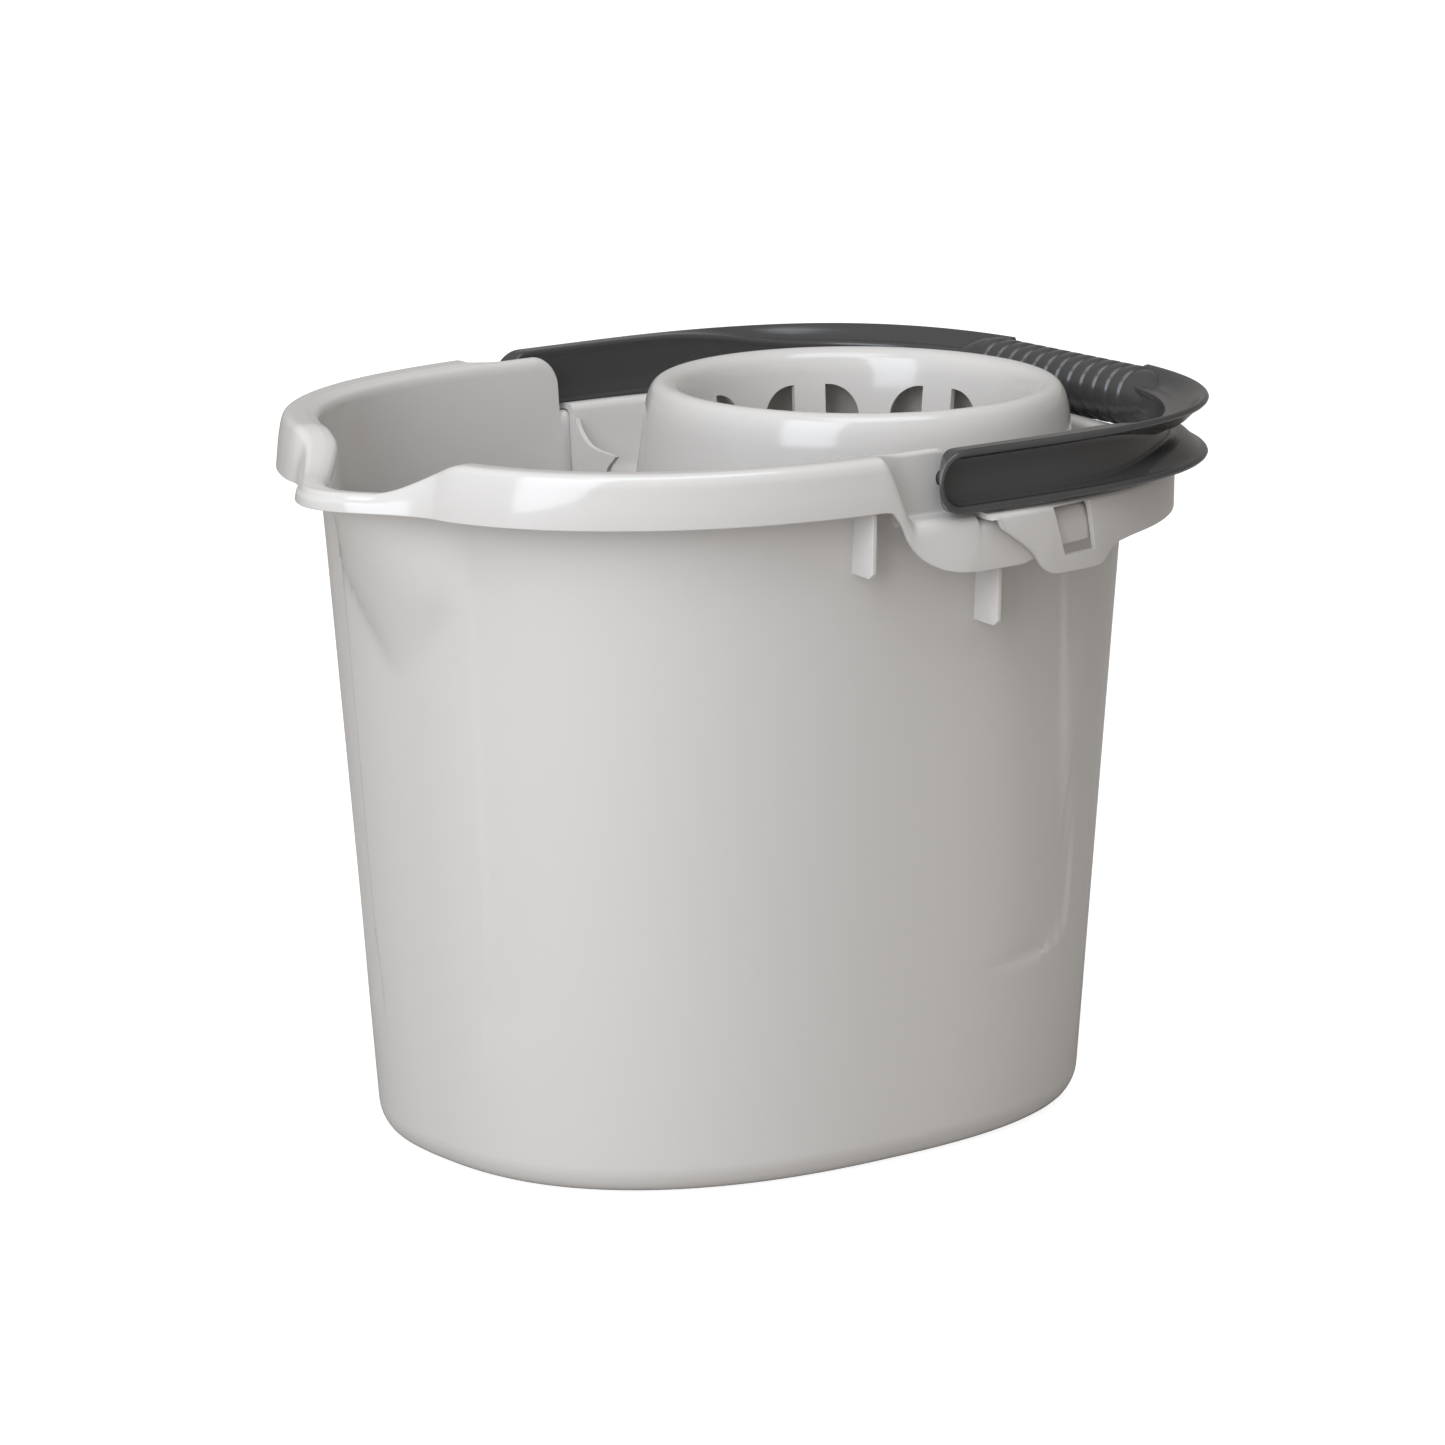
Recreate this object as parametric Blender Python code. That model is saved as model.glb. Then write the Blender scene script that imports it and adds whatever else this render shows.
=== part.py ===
"""Oval mop bucket with pouring spout, lift-out wringer insert and folding bail handle.

Three one-piece mouldings:
  bucket   oval tapered pail, hollow skirted rim, lowered rear rim, pouring spout
  wringer  raised turret with a slotted cone, pan, lip and skirt over the lowered rim
  handle   open-channel arms, dished fins and a ridged grip, turning on two pegs

Metres, +Z up, spout toward -X, grip toward +X, the XZ plane is the symmetry plane.
"""
import bpy
import bmesh
import math
from mathutils import Vector

# ------------------------------------------------------------------ dimensions
SHIFT_X = 0.0051          # moves the whole object so its bounding box is centred

# oval body: half axes, exponent and centre at the foot and near the rim
FOOT_A, FOOT_B, FOOT_N, FOOT_X, FOOT_Z = 0.1364, 0.1026, 2.41, 0.0023, 0.004
RIM_A, RIM_B, RIM_N, RIM_X, RIM_Z = 0.1513, 0.1181, 2.53, 0.0, 0.245
WALL_T = 0.0022        # wall thickness
FLOOR_T = 0.0028       # floor thickness

# rim heights
CREST_Z = 0.2700       # crest of the high front rim
EAR_Z = 0.2690         # top of the ears that carry the handle
SKIRT_Z = 0.2503       # bottom of the front skirt
SHELF_Z = 0.2452       # shelf under the handle arm, ahead of the wringer
LOW_SHELF_Z = 0.2430   # shelf under the wringer lip
LOW_RIM_Z = 0.2474     # lowered rear rim
LOW_SKIRT_Z = 0.2246   # bottom of the lower skirt
REAR_SKIRT_Z = 0.2290  # lower skirt behind the wringer tab
LIP_T = 0.0026         # rim and skirt thickness

# spout
SPOUT_OUT = 0.0244     # how far the channel pushes out of the end wall
SPOUT_LIP_Z = 0.2574   # height of the pouring lip
SPOUT_FOOT_Z = 0.185   # where the channel runs out in the wall
SPOUT_HALF = 0.0398     # half width at the lip

# pivot of the handle
PIVOT_X, PIVOT_Z = 0.0024, 0.2582
PEG_R, SOCKET_R = 0.0028, 0.0031

# wringer
TURRET_X = 0.0617
TURRET_TOP = 0.2705
SLOTS = 16
SLOT_W = 0.0130
SLOT_TOP, SLOT_FOOT = 0.2574, 0.184
PAN_Z = 0.2220         # floor of the pan beside the turret
PAN_T = 0.0022
LIP_Z = 0.2502         # top of the lip over the lowered rim
COVER_Z = 0.2456       # part of the lip the handle arm lies over
PAN_FRONT = 0.0130     # front edge of the pan

# handle
ARM_TOP, ARM_FOOT = 0.2698, 0.2466
ARM_END = -0.0095      # closed ends of the arms
BEND_X = 0.030         # the arms are straight ahead of this
H_A, H_B, H_N = 0.1450, 0.1352, 2.80     # outer outline of the handle behind BEND_X
W_A, W_B, W_N = 0.1310, 0.1276, 2.50     # inner face of the web behind BEND_X
WEB_T = 0.0026
FIN_T = 0.0026
GRIP_X, GRIP_Z, GRIP_R = 0.1648, 0.2583, 0.0108
GRIP_HALF = 0.0560
RIDGES, RIDGE_PITCH, RIDGE_H = 12, 0.0073, 0.0010


# --------------------------------------------------------------------- helpers
def clamp(v, lo=0.0, hi=1.0):
    return max(lo, min(hi, v))


def smooth(v, lo, hi):
    """0 below lo, 1 above hi, smooth between."""
    t = clamp((v - lo) / (hi - lo))
    return t * t * (3.0 - 2.0 * t)


def mix(p, q, t):
    return p + (q - p) * t


def ramp(v, pairs):
    """Piecewise linear curve through (input, output) pairs."""
    if v <= pairs[0][0]:
        return pairs[0][1]
    for (x0, y0), (x1, y1) in zip(pairs, pairs[1:]):
        if v <= x1:
            return mix(y0, y1, (v - x0) / (x1 - x0))
    return pairs[-1][1]


def super_point(a, b, n, phi):
    c, s = math.cos(phi), math.sin(phi)
    r = (abs(c / a) ** n + abs(s / b) ** n) ** (-1.0 / n)
    x, y = r * c, r * s
    gx = math.copysign(abs(x / a) ** (n - 1.0) / a, x)
    gy = math.copysign(abs(y / b) ** (n - 1.0) / b, y)
    g = math.hypot(gx, gy)
    return x, y, gx / g, gy / g


def spout_push(y, z):
    """Outward push (toward -X) of the spout channel on the front end wall."""
    rise = clamp((z - SPOUT_FOOT_Z) / (SPOUT_LIP_Z - SPOUT_FOOT_Z), 0.0, 1.15)
    if rise <= 0.0:
        return 0.0
    wide = min(0.0400, 0.0060 + max(0.0, z - 0.1870))      # V of the funnel in the wall
    half = mix(wide, SPOUT_HALF, smooth(z, 0.2330, 0.2520))
    u = abs(y) / half
    if u >= 1.0:
        return 0.0
    return SPOUT_OUT * rise ** 1.25 * (1.0 - u * u) ** mix(1.05, 1.75, smooth(z, 0.2250, 0.2480))


def oval(phi, z, d):
    """Point on the body outline at height z, pushed out by d."""
    t = (z - FOOT_Z) / (RIM_Z - FOOT_Z)
    a, b, n = mix(FOOT_A, RIM_A, t), mix(FOOT_B, RIM_B, t), mix(FOOT_N, RIM_N, t)
    x, y, nx, ny = super_point(a, b, n, phi)
    px, py = x + mix(FOOT_X, RIM_X, t) + d * nx, y + d * ny
    if px < 0.0:
        px -= spout_push(y, z)
    return Vector((px, py, z))


def phi_at_x(x):
    y = RIM_B * (1.0 - abs(x / RIM_A) ** RIM_N) ** (1.0 / RIM_N)
    return math.atan2(y, x)


def phi_at_y(y):
    x = -RIM_A * (1.0 - abs(y / RIM_B) ** RIM_N) ** (1.0 / RIM_N)
    return math.atan2(y, x)


def new_mesh(name, verts, faces, coll):
    me = bpy.data.meshes.new(name)
    me.from_pydata([(v[0] + SHIFT_X, v[1], v[2]) for v in verts], [], faces)
    me.update()
    ob = bpy.data.objects.new(name, me)
    coll.objects.link(ob)
    bm = bmesh.new()
    bm.from_mesh(me)
    bmesh.ops.recalc_face_normals(bm, faces=bm.faces[:])
    bm.to_mesh(me)
    bm.free()
    return ob


def ring_loft(sections, closed):
    """Quads between sections, each section a closed loop of points."""
    verts = [p for s in sections for p in s]
    k, m = len(sections[0]), len(sections)
    faces = []
    for i in range(m if closed else m - 1):
        j = (i + 1) % m
        for q in range(k):
            r = (q + 1) % k
            faces.append((i * k + q, i * k + r, j * k + r, j * k + q))
    if not closed:
        faces.append(tuple(range(k - 1, -1, -1)))
        faces.append(tuple((m - 1) * k + q for q in range(k)))
    return verts, faces


def prism(name, outline, lo, hi, axis, coll):
    """Straight prism: outline in the plane across the axis, from lo to hi."""
    def place(p, h):
        if axis == "X":
            return (h, p[0], p[1])
        if axis == "Y":
            return (p[0], h, p[1])
        return (p[0], p[1], h)
    n = len(outline)
    verts = [place(p, lo) for p in outline] + [place(p, hi) for p in outline]
    faces = [tuple(range(n)), tuple(range(2 * n - 1, n - 1, -1))]
    faces += [(i, (i + 1) % n, n + (i + 1) % n, n + i) for i in range(n)]
    return new_mesh(name, verts, faces, coll)


def boolean(ob, tool, op, solver="EXACT"):
    m = ob.modifiers.new(op.title() + " " + tool.name, "BOOLEAN")
    m.operation, m.object, m.solver = op, tool, solver
    tool.hide_render = True
    tool.display_type = "WIRE"


def join(name, obs, coll):
    """One mesh out of several separate closed ones."""
    bm = bmesh.new()
    for ob in obs:
        bm.from_mesh(ob.data)
        me = ob.data
        bpy.data.objects.remove(ob, do_unlink=True)
        bpy.data.meshes.remove(me)
    me = bpy.data.meshes.new(name)
    bm.to_mesh(me)
    bm.free()
    ob = bpy.data.objects.new(name, me)
    coll.objects.link(ob)
    return ob


def material(name, colour, rough):
    m = bpy.data.materials.new(name)
    m.use_nodes = True
    b = m.node_tree.nodes["Principled BSDF"]
    b.inputs["Base Color"].default_value = (*colour, 1.0)
    b.inputs["Roughness"].default_value = rough
    b.inputs["Metallic"].default_value = 0.0
    m.diffuse_color = (*colour, 1.0)
    return m


def finish(ob, mat, angle=35.0):
    ob.data.materials.clear()
    ob.data.materials.append(mat)
    ob.data.shade_smooth()
    ob.data.set_sharp_from_angle(angle=math.radians(angle))


# ---------------------------------------------------------------------- bucket
SIDE_XS = [0.1506, 0.1475, 0.142, 0.134, 0.124, 0.112, 0.100, 0.089, 0.0781, 0.0724, 0.0690, 0.0560,
           0.0455, 0.0415, 0.0376, 0.0340, 0.0290, 0.0227, 0.0180, 0.0160, PAN_FRONT]


def half_columns():
    """Angles from the rear (0) to the spout (pi) on the +Y side."""
    xs = SIDE_XS + [0.0118, 0.0100, 0.0088, 0.0085, 0.0078, 0.0064,
          0.0042, 0.0018, -0.001, -0.0035, -0.0060, -0.0090, -0.0120, -0.0155, -0.0190,
          -0.0220, -0.0250, -0.0280, -0.0310, -0.037, -0.048, -0.062, -0.076, -0.089, -0.101, -0.112,
          -0.121, -0.1285]
    ys = [0.068, 0.058, 0.050, 0.043, 0.0365, 0.031, 0.0255, 0.020, 0.0135, 0.007]
    return [0.0] + [phi_at_x(x) for x in xs] + [phi_at_y(y) for y in ys] + [math.pi]


def bucket_section(phi):
    p = oval(phi, RIM_Z, 0.0)
    x, y = p.x, abs(p.y)
    front = 1.0 - smooth(x, -0.0300, -0.0145)         # high rim ahead of the handle
    behind = smooth(x, 0.0100, 0.0118)                # where the wringer lip begins
    spout = (1.0 - smooth(y, 0.0190, 0.0480)) if x < 0.0 else 0.0

    crest = mix(CREST_Z, SPOUT_LIP_Z, spout)
    shelf = mix(SHELF_Z, LOW_SHELF_Z, behind)
    zo = mix(shelf, crest, front)
    if x < 0.0100:                                    # skirt foot swings down in an S
        zb = ramp(x, [(-0.0275, SKIRT_Z), (-0.0250, SKIRT_Z - 0.0012), (-0.0220, 0.2452), (-0.0190, 0.2384),
                      (-0.0135, 0.2318), (-0.0080, 0.2284), (-0.0030, 0.2264), (0.0030, 0.2252),
                      (0.0100, LOW_SKIRT_Z)])
        zb += 0.0004 * spout
    else:
        zb = mix(LOW_SKIRT_Z, REAR_SKIRT_Z, smooth(x, 0.030, 0.045))
    # ear: high until the pivot, rounded corner, then straight down to the low rim
    if x < -0.0010:
        zi = mix(EAR_Z, CREST_Z - 0.0006, front)
    elif x < 0.0086:
        r = 0.0100
        zi = EAR_Z - r + math.sqrt(max(0.0, r * r - (x + 0.0010) ** 2))
    else:
        zi = LOW_RIM_Z
    zi = mix(zi, SPOUT_LIP_Z - 0.0004, spout)
    foot = mix(min(shelf + 0.0005, zi - 0.0008), crest - 0.0004, front)
    top = mix(min(zi - 0.0010, EAR_Z), crest - 0.0002, front)
    # rim offsets: narrower on the spout lip, flared beside it, wider at the rear
    k = mix(1.0, 0.80, spout)
    flare = 0.0028 * smooth(-x, 0.112, 0.148)
    wide = 0.0030 * smooth(x, -0.0200, 0.0100)
    e = wide + flare
    dt = LIP_T
    under = zo - dt
    wall = [(z, 0.0) for z in (0.095, 0.186, 0.200, 0.212)]
    prof = [(0.0, -0.0105), (0.0007, -0.0062), (0.0028, -0.0024), (0.0072, 0.0)]
    prof += wall
    prof += [(min(under, zb) - 0.006, 0.0),
             (under - 0.0012, 0.0),
             (under, 0.0016 * k),
             (under - 0.0004, mix(0.0086, 0.0080 * k, spout) + wide),
             (mix(zb, under, 0.80), mix(0.0098, 0.0088 * k, spout) + wide),
             (zb, 0.0112 * k + e),
             (zb, 0.0134 * k + e),
             (mix(zb, zo, 0.55), 0.0127 * k + wide + 0.45 * flare),
             (zo - 0.0036 * mix(1, .6, spout), 0.0122 * k + wide),
             (zo - 0.0011, 0.0111 * k + wide),
             (zo, 0.0090 * k + wide),
             (mix(foot, zo, 0.5), 0.0058 * k),
             (foot, 0.0035 * k),
             (top, 0.0028 * k),
             (zi, 0.0012 * k),
             (zi - 0.0008, -0.0014),
             (zi - 0.0034, -WALL_T)]
    prof += [(z, -WALL_T) for z in (0.236, 0.222, 0.210, 0.198, 0.184, 0.095)]
    prof += [(0.0086, -WALL_T - 0.0002), (0.0048, -WALL_T - 0.0022), (FLOOR_T, -WALL_T - 0.0078)]
    return [oval(phi, z, d) for z, d in prof]


def mirrored(half, build):
    """Sections all the way round from the angles of one half."""
    secs = [build(p) for p in half]
    back = []
    for s in secs[1:-1]:
        back.append([Vector((v.x, -v.y, v.z)) for v in s])
    return secs + back[::-1]


def build_bucket(coll, tools):
    secs = mirrored(half_columns(), bucket_section)
    for s in (secs[0], secs[len(half_columns()) - 1]):
        for v in s:
            v.y = 0.0
    k, m = len(secs[0]), len(secs)
    verts = [p for s in secs for p in s]
    faces = []
    for i in range(m):
        j = (i + 1) % m
        for q in range(k - 1):
            faces.append((i * k + q, i * k + q + 1, j * k + q + 1, j * k + q))
    # floor: two inner rings and a centre on both faces
    for q, z in ((0, 0.0), (k - 1, FLOOR_T)):
        ring = [i * k + q for i in range(m)]
        base = len(verts)
        for i in range(m):
            p = verts[ring[i]]
            verts.append(Vector((p.x * 0.5, p.y * 0.5, z)))
        inner = [base + i for i in range(m)]
        verts.append(Vector((0.0, 0.0, z)))
        c = len(verts) - 1
        for i in range(m):
            j = (i + 1) % m
            faces.append((ring[i], ring[j], inner[j], inner[i]))
            faces.append((inner[i], inner[j], c))
    ob = new_mesh("bucket", verts, faces, coll)

    # gusset plates under the rim, both sides
    plates = []
    for x, z0, z1 in ((-0.0328, 0.2268, CREST_Z - 0.0016), (0.0243, 0.2028, LOW_SHELF_Z - 0.0012)):
        def wall_y(z):
            t = (z - FOOT_Z) / (RIM_Z - FOOT_Z)
            a, b, n = mix(FOOT_A, RIM_A, t), mix(FOOT_B, RIM_B, t), mix(FOOT_N, RIM_N, t)
            return b * (1.0 - abs((x - mix(FOOT_X, RIM_X, t)) / a) ** n) ** (1.0 / n)
        yo = wall_y(0.245) + 0.0106
        for sgn in (1.0, -1.0):
            out = [(wall_y(z0) - 0.0012, z0), (yo - 0.0022, z0 - 0.0006), (yo - 0.0002, z0 + 0.0012),
                   (yo + 0.0002, mix(z0, z1, 0.5)), (yo - 0.0012, z1), (wall_y(z1) - 0.0012, z1)]
            plates.append(prism("rib", [(sgn * y, z) for y, z in out], x - 0.0010, x + 0.0010, "X", tools))
    ribs = join("bucket gussets", plates, tools)
    boolean(ob, ribs, "UNION")

    # blind sockets for the handle pegs
    socks = []
    for sgn in (1.0, -1.0):
        circ = [(PIVOT_X + SOCKET_R * math.cos(i * math.pi / 12), PIVOT_Z + SOCKET_R * math.sin(i * math.pi / 12))
                for i in range(24)]
        y0, y1 = sgn * 0.1179, sgn * 0.1260
        socks.append(prism("socket", circ, min(y0, y1), max(y0, y1), "Y", tools))
    cut = join("pivot sockets", socks, tools)
    boolean(ob, cut, "DIFFERENCE")
    return ob


# --------------------------------------------------------------------- wringer
TURRET = [(0.0849, 0.2186), (0.0844, 0.2235), (0.0822, 0.2400), (0.0806, 0.2520), (0.0796, 0.2605),
          (0.0784, 0.2655), (0.0765, 0.2690), (0.0740, 0.2705), (0.0706, 0.2702), (0.0677, 0.2684),
          (0.0656, 0.2640), (0.0643, 0.2560), (0.0625, 0.2400), (0.0600, 0.2150), (0.0566, 0.1800),
          (0.0558, 0.1735), (0.0540, 0.1700), (0.0500, 0.1682), (0.0250, 0.1672)]
TURRET_IN = [(0.0250, 0.1648), (0.0508, 0.1658), (0.0556, 0.1680), (0.0580, 0.1725), (0.0589, 0.1800),
             (0.0623, 0.2150), (0.0648, 0.2400), (0.0666, 0.2560), (0.0678, 0.2628), (0.0695, 0.2662),
             (0.0722, 0.2681), (0.0745, 0.2672), (0.0761, 0.2640), (0.0774, 0.2600), (0.0784, 0.2520),
             (0.0800, 0.2400), (0.0822, 0.2235), (0.0828, 0.2186)]


def skirt_foot(x):
    """Lower edge of the wringer skirt along the side, with the long tab."""
    return ramp(x, [(0.0160, 0.2433), (0.0180, 0.2398), (0.0227, 0.2366), (0.0306, 0.2311), (0.0346, 0.2276),
                    (0.0376, 0.2238), (0.0419, 0.2206), (0.0455, 0.2193), (0.0690, 0.2190), (0.0724, 0.2230),
                    (0.0781, 0.2258), (0.0907, 0.2266), (0.2, 0.2266)])


def pan_section(phi):
    p = oval(phi, RIM_Z, 0.0)
    zs = skirt_foot(p.x)
    z_in = min(0.2426, zs + 0.010)

    def turret_at(q, r, z):
        dx, dy = q.x - TURRET_X, q.y
        h = math.hypot(dx, dy)
        return Vector((TURRET_X + r * dx / h, r * dy / h, z))
    w = oval(phi, PAN_Z, -0.0095)
    # behind the turret the pan runs out against the turret wall
    r_in = min(0.0834, math.hypot(w.x - TURRET_X, w.y) - 0.0012)
    prof_out = [(PAN_Z, -0.0095), (PAN_Z + 0.0030, -0.0066), (0.2440, -0.0052), (0.2484, -0.0047),
                (LIP_Z - 0.0002, -0.0032), (LIP_Z, -0.0004), (LIP_Z - 0.0010, 0.0040),
                (COVER_Z + 0.0007, 0.0056), (COVER_Z, 0.0074), (COVER_Z, 0.0160), (COVER_Z - 0.0014, 0.0182),
                (zs, 0.0192), (zs, 0.0171), (mix(zs, 0.2433, 0.9), 0.0159),
                (0.2434, 0.0148), (0.2434, 0.0062), (0.2440, 0.0050), (0.2477, 0.0034),
                (0.2477, -0.0012), (0.2466, -0.0026), (0.2300, -0.0027), (PAN_Z + 0.0006, -0.0030),
                (PAN_Z - PAN_T, -0.0062), (PAN_Z - PAN_T, -0.0095)]
    pts = [turret_at(w, r_in, PAN_Z)] + [oval(phi, z, d) for z, d in prof_out]
    pts.append(turret_at(w, r_in, PAN_Z - PAN_T))
    return pts


def build_wringer(coll, tools):
    # turret and cone, turned about the turret axis
    n = 48
    prof = TURRET + TURRET_IN
    k = len(prof)
    verts, faces = [], []
    top_c, low_c = len(TURRET) - 1, len(TURRET)
    for i in range(n):
        t = 2.0 * math.pi * (i + 0.5) / n
        for r, z in prof:
            verts.append((TURRET_X + r * math.cos(t), r * math.sin(t), z))
    for i in range(n):
        j = (i + 1) % n
        for q in range(k):
            r = (q + 1) % k
            if q == top_c:
                continue
            faces.append((i * k + q, i * k + r, j * k + r, j * k + q))
    for q, z in ((top_c, prof[top_c][1]), (low_c, prof[low_c][1])):
        verts.append((TURRET_X, 0.0, z))
        c = len(verts) - 1
        for i in range(n):
            faces.append((i * k + q, ((i + 1) % n) * k + q, c))
    ob = new_mesh("wringer", verts, faces, coll)

    # pan, lip and skirt round the rear of the oval
    half = [phi_at_x(x) for x in SIDE_XS[::-1]]
    angles = half + [0.0] + [-p for p in half[::-1]]
    verts, faces = ring_loft([pan_section(p) for p in angles], False)
    pan = new_mesh("wringer pan", verts, faces, tools)
    boolean(ob, pan, "UNION", "MANIFOLD")

    # curved webs closing the front of the pan on both sides
    webs = []
    for sgn in (1.0, -1.0):
        out = [(0.1105, 0.2450), (0.1093, 0.2423), (0.1062, 0.2385), (0.1022, 0.2356), (0.0958, 0.2345),
               (0.0850, 0.2338), (0.0868, 0.2318), (0.0895, 0.2297), (0.0912, 0.2265), (0.0916, 0.2209),
               (0.1070, 0.2209), (0.1118, 0.2235), (0.1128, 0.2440)]
        webs.append(prism("web", [(sgn * y, z) for y, z in out], PAN_FRONT - 0.0008, PAN_FRONT + 0.0012, "X", tools))
    w = join("wringer webs", webs, tools)
    boolean(ob, w, "UNION")

    # slots of the cone: half arches in mirrored pairs
    cuts = []
    for i in range(SLOTS):
        t = 2.0 * math.pi * (i + 0.5) / SLOTS
        m = 1.0 if i % 2 else -1.0
        h = SLOT_W / 2.0
        arc = [(mix(-h, h, 0.06 + 0.94 * math.sin(a)), SLOT_TOP - 0.0125 * (1.0 - math.cos(a)))
               for a in [math.pi / 2 * q / 6 for q in range(7)]]
        lo = h * 0.80
        out = [(-h, SLOT_TOP)] + arc + [(lo, SLOT_FOOT + 0.002), (lo - 0.002, SLOT_FOOT),
                                        (-lo + 0.002, SLOT_FOOT), (-lo, SLOT_FOOT + 0.002)]
        ca, sa = math.cos(t), math.sin(t)
        verts = []
        for r in (0.045, 0.0715):
            for u, z in out:
                verts.append((TURRET_X + r * ca - m * u * sa, r * sa + m * u * ca, z))
        c = len(out)
        faces = [tuple(range(c)), tuple(range(2 * c - 1, c - 1, -1))]
        faces += [(q, (q + 1) % c, c + (q + 1) % c, c + q) for q in range(c)]
        cuts.append(new_mesh("slot", verts, faces, tools))
    for sgn in (1.0, -1.0):
        y0, y1 = sgn * 0.1265, sgn * 0.1420
        cuts.append(prism("window", [(0.0509, 0.2256), (0.0681, 0.2256), (0.0638, 0.2442), (0.0440, 0.2442)],
                          min(y0, y1), max(y0, y1), "Y", tools))
    cut = join("wringer openings", cuts, tools)
    boolean(ob, cut, "DIFFERENCE")
    return ob


# ---------------------------------------------------------------------- handle
def handle_stations(inset, end_deg, steps):
    """Stations along one arm: plan x ahead of the bend, then angles round it."""
    r = (ARM_TOP - ARM_FOOT) / 2.0 - inset
    a = ARM_END + inset
    out = [("x", a + r * (1.0 - math.cos(math.pi / 2 * q / 7))) for q in range(1, 8)]
    out += [("x", 0.010), ("x", 0.020)]
    out += [("a", math.radians(mix(90.0, end_deg, q / steps))) for q in range(int(steps) + 1)]
    return out


def plan_point(station, a, b, n):
    """Plan position (+Y side) of a station on an outline."""
    kind, v = station
    if kind == "x":
        return v, b
    x, y, _, _ = super_point(a, b, n, v)
    return BEND_X + x, y


def arm_half(inset, x):
    """Half height of the arm at x, rounded over its closed end."""
    r = (ARM_TOP - ARM_FOOT) / 2.0 - inset
    u = (x - ARM_END - inset) / r
    if u >= 1.0:
        return r
    return r * math.sqrt(max(0.0, 1.0 - (1.0 - u) ** 2))


def build_handle(coll, tools):
    mid = (ARM_TOP + ARM_FOOT) / 2.0
    halves, pockets = [], []
    for sgn in (1.0, -1.0):
        secs = []
        for st in handle_stations(0.0, 15.5, 16):
            xo, yo = plan_point(st, H_A, H_B, H_N)
            xi, yi = plan_point(st, W_A, W_B, W_N)
            h = arm_half(0.0, xo)
            e = min(0.0008, h * 0.3)
            o = Vector((xo, yo, 0.0))
            i = Vector((xi, yi, 0.0))
            u = (o - i).normalized()
            pts = [i + Vector((0, 0, mid - h * 0.93)), i + u * 0.0008 + Vector((0, 0, mid - h)),
                   o - u * e + Vector((0, 0, mid - h)), o + Vector((0, 0, mid - h + e)),
                   o + Vector((0, 0, mid + h - e)), o - u * e + Vector((0, 0, mid + h)),
                   i + u * 0.0008 + Vector((0, 0, mid + h)), i + Vector((0, 0, mid + h * 0.93))]
            secs.append([Vector((p.x, sgn * p.y, p.z)) for p in pts])
        verts, faces = ring_loft(secs, False)
        halves.append(new_mesh("arm", verts, faces, tools))
        # channel cut from the outside, open toward the rear corner
        secs = []
        for st in handle_stations(FIN_T, 15.0, 16):
            xo, yo = plan_point(st, H_A + 0.004, H_B + 0.004, H_N)
            xi, yi = plan_point(st, W_A + WEB_T, W_B + WEB_T, W_N)
            h = arm_half(FIN_T, xo)
            pts = [(xi, yi, mid - h * 0.86), (xi + (xo - xi) * 0.12, yi + (yo - yi) * 0.12, mid - h),
                   (xo, yo, mid - h), (xo, yo, mid + h),
                   (xi + (xo - xi) * 0.12, yi + (yo - yi) * 0.12, mid + h), (xi, yi, mid + h * 0.86)]
            secs.append([Vector((p[0], sgn * p[1], p[2])) for p in pts])
        verts, faces = ring_loft(secs, False)
        pockets.append(new_mesh("pocket", verts, faces, tools))
    arms = join("handle arms", halves, tools)
    cut = join("handle channels", pockets, tools)

    # grip: turned about its own axis along Y, ridged in the middle
    prof = [(-GRIP_HALF, 0.0)]
    ends = [(0.0, 0.0050), (0.0020, 0.0084), (0.0050, 0.0102), (0.0080, GRIP_R)]
    prof += [(-GRIP_HALF + a, b) for a, b in ends]
    start, pitch = -RIDGES * RIDGE_PITCH / 2.0, RIDGE_PITCH
    for i in range(RIDGES):
        y = start + i * pitch
        prof += [(y + 0.10 * pitch, GRIP_R), (y + 0.30 * pitch, GRIP_R + RIDGE_H),
                 (y + 0.70 * pitch, GRIP_R + RIDGE_H), (y + 0.90 * pitch, GRIP_R)]
    prof += [(GRIP_HALF - a, b) for a, b in ends[::-1]] + [(GRIP_HALF, 0.0)]
    n = 24
    verts = [(GRIP_X, prof[0][0], GRIP_Z)]
    body = prof[1:-1]
    for y, r in body:
        for i in range(n):
            t = 2.0 * math.pi * i / n
            verts.append((GRIP_X + r * math.cos(t), y, GRIP_Z + r * math.sin(t)))
    verts.append((GRIP_X, prof[-1][0], GRIP_Z))
    faces = []
    for q in range(len(body) - 1):
        for i in range(n):
            j = (i + 1) % n
            faces.append((1 + q * n + i, 1 + q * n + j, 1 + (q + 1) * n + j, 1 + (q + 1) * n + i))
    last = len(verts) - 1
    for i in range(n):
        j = (i + 1) % n
        faces.append((0, 1 + j, 1 + i))
        faces.append((last, 1 + (len(body) - 1) * n + i, 1 + (len(body) - 1) * n + j))
    ob = new_mesh("handle", verts, faces, coll)

    boolean(ob, arms, "UNION")
    boolean(ob, cut, "DIFFERENCE")

    # pegs on the inner faces of the arm ends, and the struts between the fins
    extra = []
    for sgn in (1.0, -1.0):
        circ = [(PIVOT_X + PEG_R * math.cos(i * math.pi / 12), PIVOT_Z + PEG_R * math.sin(i * math.pi / 12))
                for i in range(24)]
        y0, y1 = sgn * 0.1183, sgn * 0.1290
        extra.append(prism("peg", circ, min(y0, y1), max(y0, y1), "Y", tools))
    pegs = join("handle pegs", extra, tools)
    boolean(ob, pegs, "UNION")
    return ob


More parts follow.
